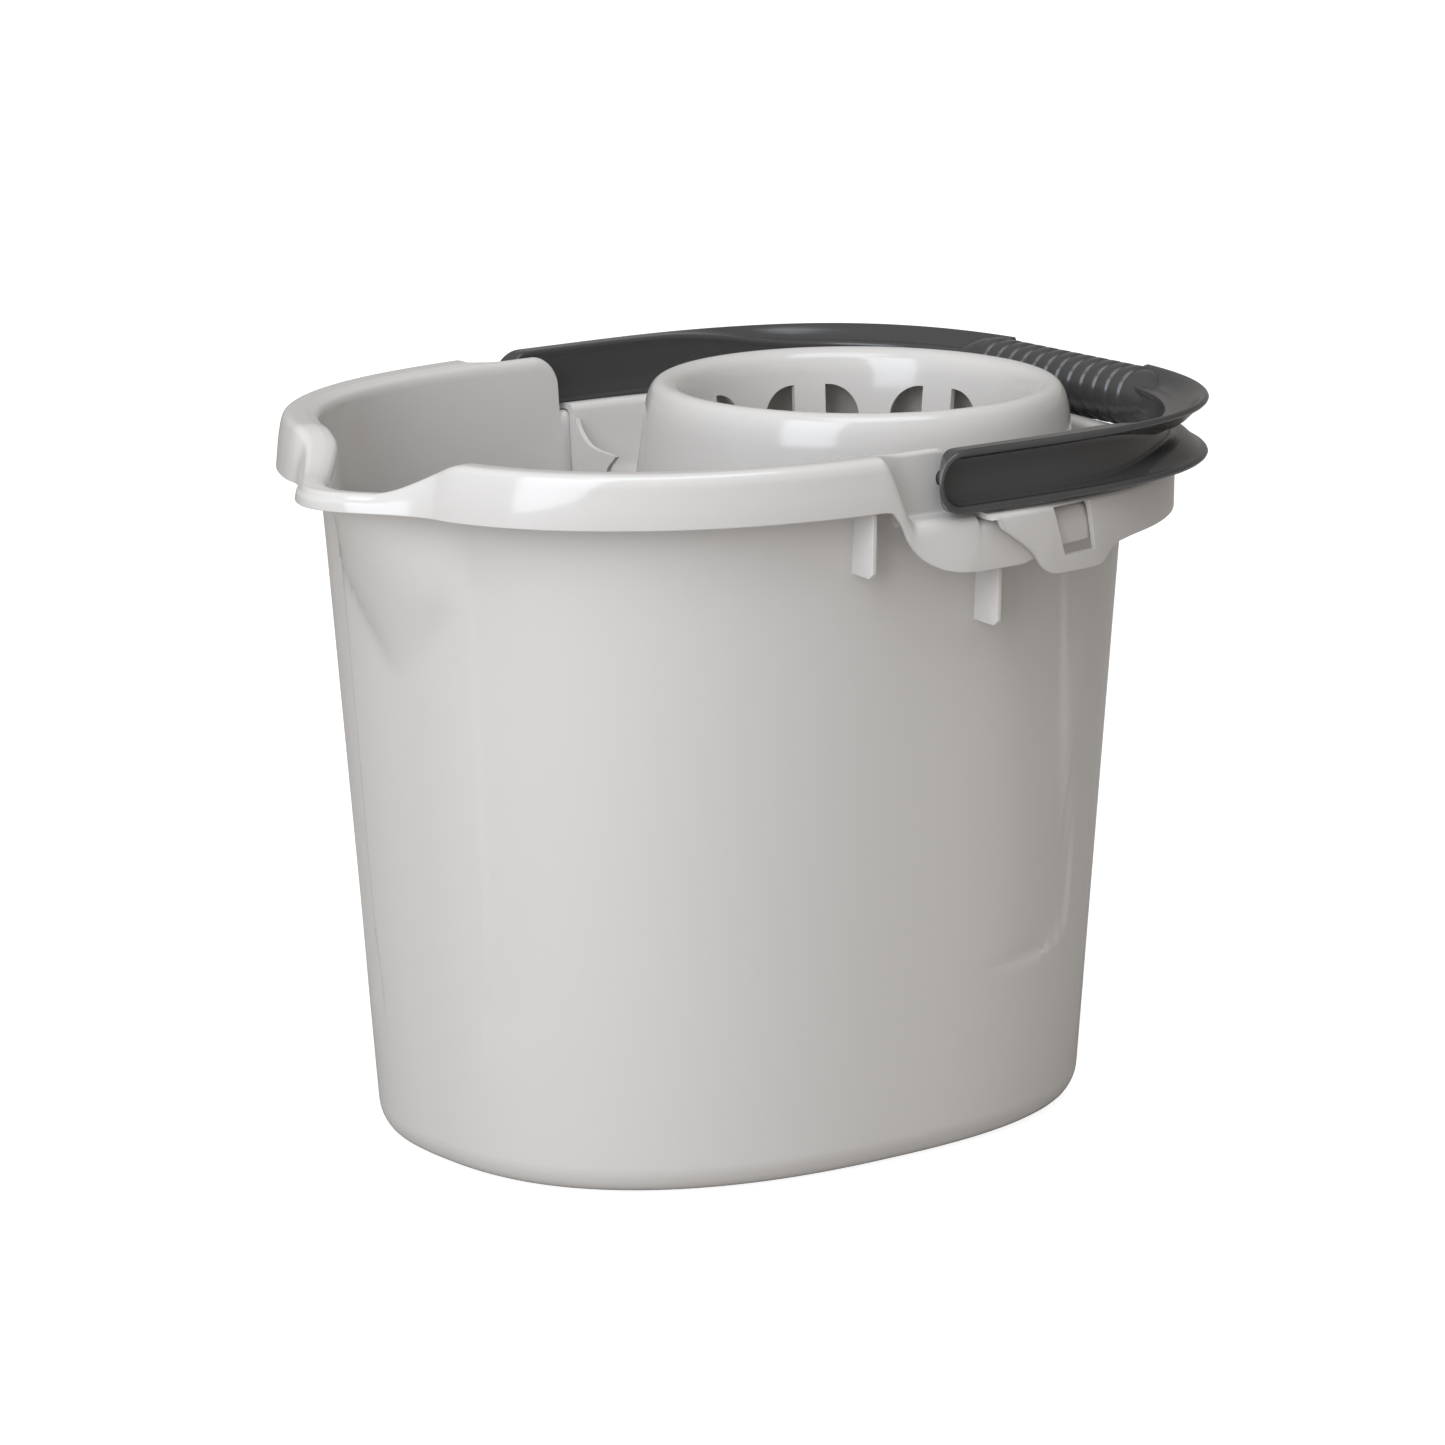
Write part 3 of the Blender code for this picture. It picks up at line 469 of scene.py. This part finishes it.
def make_wringer():
    n = 160
    f = lambda pr: fillets(pr, [0.05] * len(pr), 4)
    outer, inner = f(TURRET), f(TURRET_IN)
    prof = outer + inner
    k = len(prof)
    verts, faces = [], []
    top_c, low_c = len(outer) - 1, len(outer)
    for i in range(n):
        t = 2.0 * math.pi * (i + 0.5) / n
        for r, z in prof:
            verts.append((TURRET_X + r * math.cos(t), r * math.sin(t), z))
    for i in range(n):
        j = (i + 1) % n
        for q in range(k):
            if q == top_c:
                continue
            r = (q + 1) % k
            faces.append((i * k + q, i * k + r, j * k + r, j * k + q))
    for q in (top_c, low_c):
        verts.append((TURRET_X, 0.0, prof[q][1]))
        c = len(verts) - 1
        for i in range(n):
            faces.append((i * k + q, ((i + 1) % n) * k + q, c))
    ob = new_mesh("wringer_insert", verts, faces)

    half, acc, last = [], 0.0, None
    phi = phi_at_x(SIDE_LO)
    half = [phi]
    steps = 9000
    for i in range(1, steps + 1):
        q = mix(phi, 0.0, i / steps)
        a, b = oval(q, RIM_Z, 0.0), oval(mix(phi, 0.0, (i - 1) / steps), RIM_Z, 0.0)
        g = 0.0010 if a.x < 0.085 else 0.0022
        acc += (a - b).length / g
        if acc >= 1.0:
            half.append(q)
            acc -= 1.0
    if half[-1] < 0.004:
        half.pop()
    angles = half + [0.0] + [-p for p in half[::-1]]
    secs = [pan_section(p) for p in angles]
    kk, m = len(secs[0]), len(secs)
    verts = [p for s in secs for p in s]
    faces = []
    for i in range(m - 1):
        for q in range(kk):
            r = (q + 1) % kk
            faces.append((i * kk + q, i * kk + r, (i + 1) * kk + r, (i + 1) * kk + q))
    faces.append(tuple(range(kk - 1, -1, -1)))
    faces.append(tuple((m - 1) * kk + q for q in range(kk)))
    pan = new_mesh("pan", verts, faces)
    boolean(ob, pan, "UNION", "MANIFOLD")

    webs = []
    for sgn in (1.0, -1.0):
        out = [(0.1105, 0.2450), (0.1093, 0.2423), (0.1062, 0.2385), (0.1022, 0.2356), (0.0958, 0.2345),
               (0.0850, 0.2338), (0.0868, 0.2318), (0.0895, 0.2297), (0.0912, 0.2265), (0.0916, 0.2209),
               (0.1070, 0.2209), (0.1118, 0.2235), (0.1128, 0.2440)]
        rr = [0] + [0.05] * 3 + [0.001, 0.0004] + [0.05] * 4 + [0.001] * 2 + [0]
        out = fillets(out, rr, 3)
        webs.append(prism("web", [(sgn * y, z) for y, z in out], PAN_FRONT - 0.0008, PAN_FRONT + 0.0012, "X"))
    boolean(ob, gather("webs", webs), "UNION")

    cuts = []
    for i in range(SLOTS):
        t = 2.0 * math.pi * (i + 0.5) / SLOTS
        mm = 1.0 if i % 2 else -1.0
        h = SLOT_W / 2.0
        arc = [(mix(-h, h, 0.06 + 0.94 * math.sin(a)), SLOT_TOP - 0.0125 * (1.0 - math.cos(a)))
               for a in [math.pi / 2 * q / 16 for q in range(17)]]
        lo = h * 0.80
        foot = [(lo - 0.002 * (1 - math.cos(a)), SLOT_FOOT + 0.002 * (1 - math.sin(a))) for a in
                [math.pi / 2 * q / 4 for q in range(5)]]
        foot2 = [(-u, z) for u, z in foot[::-1]]
        out = [(-h, SLOT_TOP)] + arc + foot + foot2
        ca, sa = math.cos(t), math.sin(t)
        verts = []
        for r in (0.045, 0.0715):
            for u, z in out:
                verts.append((TURRET_X + r * ca - mm * u * sa, r * sa + mm * u * ca, z))
        c = len(out)
        faces = [tuple(range(c)), tuple(range(2 * c - 1, c - 1, -1))]
        faces += [(q, (q + 1) % c, c + (q + 1) % c, c + q) for q in range(c)]
        cuts.append(new_mesh("slot", verts, faces))
    for sgn in (1.0, -1.0):
        y0, y1 = sgn * 0.1265, sgn * 0.1420
        cuts.append(prism("window", [(0.0509, 0.2256), (0.0681, 0.2256), (0.0638, 0.2442), (0.0440, 0.2442)],
                          min(y0, y1), max(y0, y1), "Y"))
    boolean(ob, gather("openings", cuts), "DIFFERENCE")
    return ob


# ---------------------------------------------------------------------- handle
def plan(kind, v, a, b, n):
    if kind == "x":
        return v, b
    x, y, _, _ = super_point(a, b, n, v)
    return BEND_X + x, y


def make_arm(sgn):
    """One arm: an open channel with a rounded closed end, beaded edges and dished fins, running into the grip."""
    mid = (ARM_TOP + ARM_FOOT) / 2.0
    h0 = (ARM_TOP - ARM_FOOT) / 2.0
    xc = ARM_END + h0
    st = [("a", math.radians(mix(15.5, 90.0, q / 70.0))) for q in range(71)]
    st += [("x", mix(BEND_X, xc, q / 14.0)) for q in range(1, 14)]
    ns = len(st)
    semi = 22

    def frame_at(s):
        xo, yo = plan(s[0], s[1], H_A, H_B, H_N)
        xi, yi = plan(s[0], s[1], W_A, W_B, W_N)
        w = math.hypot(xo - xi, yo - yi)
        return xi, yi, (xo - xi) / w, (yo - yi) / w, w

    def grip_share(yi):
        return 1.0 - smooth(yi, 0.0440, 0.0840)

    def dish(t, w, yi):
        """How far the fin's faces sink, t from the web (0) to the edge (1)."""
        deep = 0.0052 * smooth(w, 0.0085, 0.0150)
        near = smooth(yi, 0.030, 0.052)       # the fin meets the grip's top at its end
        return deep * mix(0.35, 1.0, near) * (1.0 - smooth(t, 0.42, 0.93))

    # rings: (inset, share of the width, fixed depth)
    rings = [(0.0034, 0.0, 0.0006), (0.0029, 0.0, 0.00055), (0.0024, 0.0, 0.0002), (0.0018, 0.0, 0.0000),
             (0.0010, 0.0, 0.0000), (0.0004, 0.0, 0.0002), (0.0001, 0.0, 0.0006), (0.0000, 0.0, 0.0012),
             (0.0, 0.25, 0.0), (0.0, 0.36, 0.0), (0.0, 0.48, 0.0), (0.0, 0.60, 0.0), (0.0, 0.70, 0.0),
             (0.0, 0.79, 0.0), (0.0, 0.88, -0.0004),
             (0.0000, 1.0, -0.0015), (0.0002, 1.0, -0.0009), (0.0006, 1.0, -0.0004), (0.0014, 1.0, 0.0),
             (0.0021, 1.0, -0.0003), (0.0026, 1.0, -0.0008), (0.0028, 1.0, -0.0014), (0.0029, 1.0, -0.0022),
             (0.0030, 0.80, 0.0000), (0.0031, 0.68, 0.0), (0.0032, 0.56, 0.0004), (0.0033, 0.38, 0.0010),
             (0.0036, 0.18, 0.0022), (0.0041, 0.06, 0.0024), (0.0049, 0.0, 0.00262), (0.0060, 0.0, 0.0026)]
    grid = []
    for number, (inset, share, extra) in enumerate(rings):
        outside = number < 16
        row = []
        for s in st:
            xi, yi, ux, uy, w = frame_at(s)
            dep = share * w + extra
            t = clamp(dep / w)
            h = h0 - inset - dish(t, w, yi)
            row.append((xi + ux * dep, yi + uy * dep, h, 0))
        up = [(x, y, mid + h) for x, y, h, _ in row]
        dn = [(x, y, mid - h) for x, y, h, _ in row][::-1]
        yb = W_B
        w = H_B - W_B
        dep = share * w + extra
        r = h0 - inset
        back = clamp(1.0 - dep / w) if outside else clamp(1.0 - dep / w) * 0.35
        arc = []
        for q in range(0, semi + 1):
            a = math.pi / 2 - math.pi * q / semi
            draft = 0.0058 * back * math.cos(a) ** 0.8 if math.cos(a) > 1e-6 else 0.0
            arc.append((xc - (r - draft) * math.cos(a), yb + dep, mid + r * math.sin(a)))
        grid.append(up + arc + dn)
    verts, faces = [], []
    L = len(grid[0])
    for row in grid:
        verts += [(x, sgn * y, z) for x, y, z in row]
    for i in range(len(grid) - 1):
        for q in range(L - 1):
            faces.append((i * L + q, i * L + q + 1, (i + 1) * L + q + 1, (i + 1) * L + q))
    # the web's two faces, as grids between the upper and the lower edge, swelling into the grip
    nh = 14

    def fill(ring, face):
        base_row = grid[ring]
        pairs = [(q, L - 1 - q) for q in range((L - 1) // 2)]
        cols = []
        for q, r in pairs:
            a, b = base_row[q], base_row[r]
            col = [ring * L + q]
            for k in range(1, nh):
                t = k / nh
                x, y, z = (mix(a[m], b[m], t) for m in range(3))
                if q < ns:
                    xi, yi, ux, uy, w = frame_at(st[q])
                    g = grip_share(yi)
                    if g > 0.0:
                        zz = z - mid
                        rad = GRIP_R - 0.00018
                        bulge = math.sqrt(max(0.0, rad * rad - zz * zz))
                        tx = GRIP_X + (bulge if face else -bulge)
                        want = (tx - xi) / max(ux, 0.35)
                        now = (x - xi) * ux + (y - yi) * uy
                        if face:
                            want = max(min(want, w - 0.0012), now)
                        else:
                            want = min(want, now)
                        # near the fin the face keeps its own depth, so it closes on the ring
                        edge = math.sin(math.pi * t) ** 0.35
                        dd = mix(now, want, g * edge)
                        x, y = xi + ux * dd, yi + uy * dd
                verts.append((x, sgn * y, z))
                col.append(len(verts) - 1)
            col.append(ring * L + r)
            cols.append(col)
        tip = ring * L + (L - 1) // 2
        for c0, c1 in zip(cols, cols[1:]):
            for k in range(nh):
                faces.append((c0[k], c0[k + 1], c1[k + 1], c1[k]))
        last = cols[-1]
        for k in range(nh):
            faces.append((last[k], last[k + 1], tip))
        return cols[0]
    back = fill(0, False)
    floor = fill(len(grid) - 1, True)
    # the rear end, across the fins and the web
    loop = [i * L for i in range(len(grid))] + floor[1:-1] + [i * L + L - 1 for i in range(len(grid))][::-1] + back[1:-1][::-1]
    faces.append(tuple(loop))
    return new_mesh("arm", verts, faces)


def make_handle():
    arms = [make_arm(1.0), make_arm(-1.0)]
    half, n = 0.0680, 64
    first, pitch = -(RIDGES / 2.0) * RIDGE_PITCH, RIDGE_PITCH

    def tail(a):
        """The plain bar beyond the ridges: it thins and leans in as it sinks into the fins."""
        t = smooth(a, 0.0455, half)
        return mix(GRIP_R, 0.0026, t), -0.0050 * smooth(a, 0.0470, 0.0640)
    prof = []
    for q in range(24):
        a = mix(half, 0.0440, q / 23.0)
        r, dx = tail(a)
        prof.append((-a, r, dx))
    for i in range(RIDGES):
        y = first + i * pitch
        for a, b in ((0.04, 0.0), (0.10, 0.25), (0.18, 0.80), (0.28, 1.0), (0.50, 1.0), (0.70, 1.0), (0.80, 0.85),
                     (0.87, 0.30), (0.92, 0.0)):
            prof.append((y + a * pitch, GRIP_R + RIDGE_H * b, 0.0))
    for q in range(24):
        a = mix(0.0440, half, q / 23.0)
        r, dx = tail(a)
        prof.append((a, r, dx))
    verts = [(GRIP_X + prof[0][2], -half - 0.0008, GRIP_Z)]
    for y, r, dx in prof:
        for i in range(n):
            t = 2.0 * math.pi * i / n
            verts.append((GRIP_X + dx + r * math.cos(t), y, GRIP_Z + r * math.sin(t)))
    verts.append((GRIP_X + prof[-1][2], half + 0.0008, GRIP_Z))
    faces = []
    for q in range(len(prof) - 1):
        for i in range(n):
            j = (i + 1) % n
            faces.append((1 + q * n + i, 1 + q * n + j, 1 + (q + 1) * n + j, 1 + (q + 1) * n + i))
    last = len(verts) - 1
    for i in range(n):
        j = (i + 1) % n
        faces.append((0, 1 + j, 1 + i))
        faces.append((last, 1 + (len(prof) - 1) * n + i, 1 + (len(prof) - 1) * n + j))
    ob = new_mesh("folding_handle", verts, faces)
    boolean(ob, gather("arms", arms), "UNION")
    pegs = []
    for sgn in (1.0, -1.0):
        circ = [(PIVOT_X + PEG_R * math.cos(i * math.pi / 20), PIVOT_Z + PEG_R * math.sin(i * math.pi / 20))
                for i in range(40)]
        y0, y1 = sgn * 0.1183, sgn * 0.1290
        pegs.append(prism("peg", circ, min(y0, y1), max(y0, y1), "Y", 0.0004))
    boolean(ob, gather("pegs", pegs), "UNION")
    return ob


# ------------------------------------------------------------------- materials
def plastic(name, colour, rough, scale=1.0, mottle=0.010, grain=0.05):
    m = bpy.data.materials.new(name)
    m.use_nodes = True
    t = m.node_tree
    b = t.nodes["Principled BSDF"]
    b.inputs["Metallic"].default_value = 0.0
    b.inputs["IOR"].default_value = 1.49
    tc = t.nodes.new("ShaderNodeTexCoord")

    def noise(sc, detail, dist=0.0):
        nn = t.nodes.new("ShaderNodeTexNoise")
        nn.inputs["Scale"].default_value = sc
        nn.inputs["Detail"].default_value = detail
        nn.inputs["Distortion"].default_value = dist
        t.links.new(tc.outputs["Object"], nn.inputs["Vector"])
        return nn
    # soft flow clouds in the colour
    cloud = noise(7.0 * scale, 1.0, 0.0)
    rampc = t.nodes.new("ShaderNodeValToRGB")
    lo = tuple(c * (1.0 - mottle) for c in colour)
    hi = tuple(min(1.0, c * (1.0 + mottle)) for c in colour)
    rampc.color_ramp.interpolation = "EASE"
    rampc.color_ramp.elements[0].position, rampc.color_ramp.elements[1].position = 0.15, 0.85
    rampc.color_ramp.elements[0].color = (*lo, 1.0)
    rampc.color_ramp.elements[1].color = (*hi, 1.0)
    t.links.new(cloud.outputs["Fac"], rampc.inputs["Fac"])
    t.links.new(rampc.outputs["Color"], b.inputs["Base Color"])
    # uneven gloss
    gl = noise(26.0 * scale, 4.0)
    mr = t.nodes.new("ShaderNodeMapRange")
    mr.inputs["From Min"].default_value, mr.inputs["From Max"].default_value = 0.25, 0.75
    mr.inputs["To Min"].default_value, mr.inputs["To Max"].default_value = rough * 0.88, rough * 1.14
    t.links.new(gl.outputs["Fac"], mr.inputs["Value"])
    t.links.new(mr.outputs["Result"], b.inputs["Roughness"])
    # fine orange peel and a long soft wave of the moulding
    fine = noise(900.0, 2.0)
    wave = noise(22.0, 0.0)
    b1 = t.nodes.new("ShaderNodeBump")
    b1.inputs["Strength"].default_value = grain
    b1.inputs["Distance"].default_value = 0.00003
    t.links.new(fine.outputs["Fac"], b1.inputs["Height"])
    b2 = t.nodes.new("ShaderNodeBump")
    b2.inputs["Strength"].default_value = 0.12
    b2.inputs["Distance"].default_value = 0.00012
    t.links.new(wave.outputs["Fac"], b2.inputs["Height"])
    t.links.new(b1.outputs["Normal"], b2.inputs["Normal"])
    t.links.new(b2.outputs["Normal"], b.inputs["Normal"])
    return m


def tidy(ob):
    """Clear the thin slivers that joining and cutting leave behind."""
    bm = bmesh.new()
    bm.from_mesh(ob.data)
    bmesh.ops.remove_doubles(bm, verts=bm.verts, dist=0.000004)
    bmesh.ops.dissolve_degenerate(bm, edges=bm.edges, dist=0.000004)
    bmesh.ops.triangulate(bm, faces=[f for f in bm.faces if len(f.verts) > 4])
    bm.verts.index_update()
    seen_faces, thin = {}, []
    for f in bm.faces:
        key = tuple(sorted(v.index for v in f.verts))
        if key in seen_faces:
            thin += [f, seen_faces[key]]
        seen_faces[key] = f
    if thin:
        bmesh.ops.delete(bm, geom=list(set(thin)), context="FACES")
    bm.to_mesh(ob.data)
    bm.free()


def dress(ob, mat, body, node, angle=32.0):
    tidy(ob)
    ob.data.materials.clear()
    ob.data.materials.append(mat)
    for p in ob.data.polygons:
        p.material_index = 0
    ob.data.shade_smooth()
    ob.data.set_sharp_from_angle(angle=math.radians(angle))
    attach(ob, body)
    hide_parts(node)


body_mat = plastic("pale_polypropylene", (0.570, 0.545, 0.520), 0.13)
insert_mat = plastic("pale_polypropylene_insert", (0.575, 0.550, 0.525), 0.13)
handle_mat = plastic("anthracite_polypropylene", (0.050, 0.0492, 0.0490), 0.22, 1.5, 0.08, 0.12)

dress(make_bucket(), body_mat, "bucket", "bucket")
dress(make_wringer(), insert_mat, "wringer", "wringer")
dress(make_handle(), handle_mat, "handle", "handle")

# ----------------------------------------------------------------------- stage
al = 0.6582
fwd2, right2 = Vector((math.sin(al), math.cos(al), 0)), Vector((math.cos(al), -math.sin(al), 0))


def sweep_floor(name, drop_z, colour, glow):
    """Floor running up into a backdrop behind the object."""
    me = bpy.data.meshes.new(name)
    bm = bmesh.new()
    prof = [(-3.2, 0.0), (1.6, 0.0)] + [(1.6 + 0.9 * math.sin(a), 0.9 - 0.9 * math.cos(a)) for a in
                                        [math.pi / 2 * q / 12 for q in range(1, 13)]] + [(2.5, 3.2)]
    rows = []
    for d, z in prof:
        rows.append([bm.verts.new(fwd2 * d + right2 * s + Vector((0, 0, z - drop_z))) for s in (-3.5, 3.5)])
    for a, b in zip(rows, rows[1:]):
        bm.faces.new((a[0], a[1], b[1], b[0]))
    bm.normal_update()
    bm.to_mesh(me)
    bm.free()
    ob = bpy.data.objects.new(name, me)
    bpy.context.scene.collection.objects.link(ob)
    for p in me.polygons:
        p.use_smooth = True
    fm = bpy.data.materials.new(name)
    fm.use_nodes = True
    fb = fm.node_tree.nodes["Principled BSDF"]
    fb.inputs["Base Color"].default_value = (*colour, 1.0)
    fb.inputs["Roughness"].default_value = 0.9
    fb.inputs["Specular IOR Level"].default_value = 0.0
    fb.inputs["Emission Color"].default_value = (1, 1, 1, 1)
    fb.inputs["Emission Strength"].default_value = glow
    me.materials.append(fm)
    return ob


# the floor that is seen is white, the one that lights the object is a plain grey under it
seen = sweep_floor("floor", 0.0002, (0.42, 0.42, 0.42), 0.88)
seen.visible_diffuse = seen.visible_glossy = seen.visible_shadow = False
under = sweep_floor("floor_bounce", 0.0012, (0.50, 0.475, 0.45), 0.0)
under.visible_camera = False


def area_light(name, az, el, dist, w, h, power, colour=(1, 1, 1), target=(0.0, 0.0, 0.16)):
    li = bpy.data.lights.new(name, "AREA")
    li.shape, li.size, li.size_y, li.energy, li.color = "RECTANGLE", w, h, power, colour
    ob = bpy.data.objects.new(name, li)
    bpy.context.scene.collection.objects.link(ob)
    a, e = math.radians(az), math.radians(el)
    d = Vector((math.cos(a) * math.cos(e), math.sin(a) * math.cos(e), math.sin(e)))
    ob.location = Vector(target) + d * dist
    ob.rotation_euler = (-d).to_track_quat("-Z", "Y").to_euler()
    return ob


area_light("key", -154.0, 27.0, 2.0, 1.07, 2.2, 34.5, (0.905, 0.975, 1.065))
area_light("top", -100.0, 72.0, 2.2, 1.6, 1.2, 20.0, (0.93, 0.98, 1.04))

w = bpy.data.worlds.new("studio")
bpy.context.scene.world = w
w.use_nodes = True
wt = w.node_tree
bg = wt.nodes["Background"]
bg.inputs["Color"].default_value = (1.0, 0.970, 0.940, 1.0)
wc = wt.nodes.new("ShaderNodeTexCoord")
wd = wt.nodes.new("ShaderNodeVectorMath")
wd.operation = "DOT_PRODUCT"
wd.inputs[1].default_value = (-0.75, -0.35, 0.56)
wm = wt.nodes.new("ShaderNodeMapRange")
wm.inputs["From Min"].default_value, wm.inputs["From Max"].default_value = -1.0, 1.0
wm.inputs["To Min"].default_value, wm.inputs["To Max"].default_value = 0.085, 0.60
wt.links.new(wc.outputs["Generated"], wd.inputs[0])
wt.links.new(wd.outputs["Value"], wm.inputs["Value"])
wt.links.new(wm.outputs["Result"], bg.inputs["Strength"])

# ---------------------------------------------------------------------- camera
D, HC, PITCH, FPX, RX = 2.3581, 0.68793, 0.22544, 6489.35, 4.0
cam = bpy.data.cameras.new("camera")
co = bpy.data.objects.new("camera", cam)
bpy.context.scene.collection.objects.link(co)
co.location = (-D * math.sin(al) + SHIFT_X, -D * math.cos(al), HC)
look = Vector((math.sin(al) * math.cos(PITCH), math.cos(al) * math.cos(PITCH), -math.sin(PITCH)))
co.rotation_euler = look.to_track_quat("-Z", "Y").to_euler()
cam.sensor_width = 36.0
cam.lens = FPX / 1445.0 * 36.0
cam.shift_x = -RX / 1445.0
cam.clip_start, cam.clip_end = 0.05, 50.0
bpy.context.scene.camera = co
bpy.context.scene.view_settings.view_transform = "Standard"
bpy.context.scene.view_settings.look = "None"

bpy.context.view_layer.update()
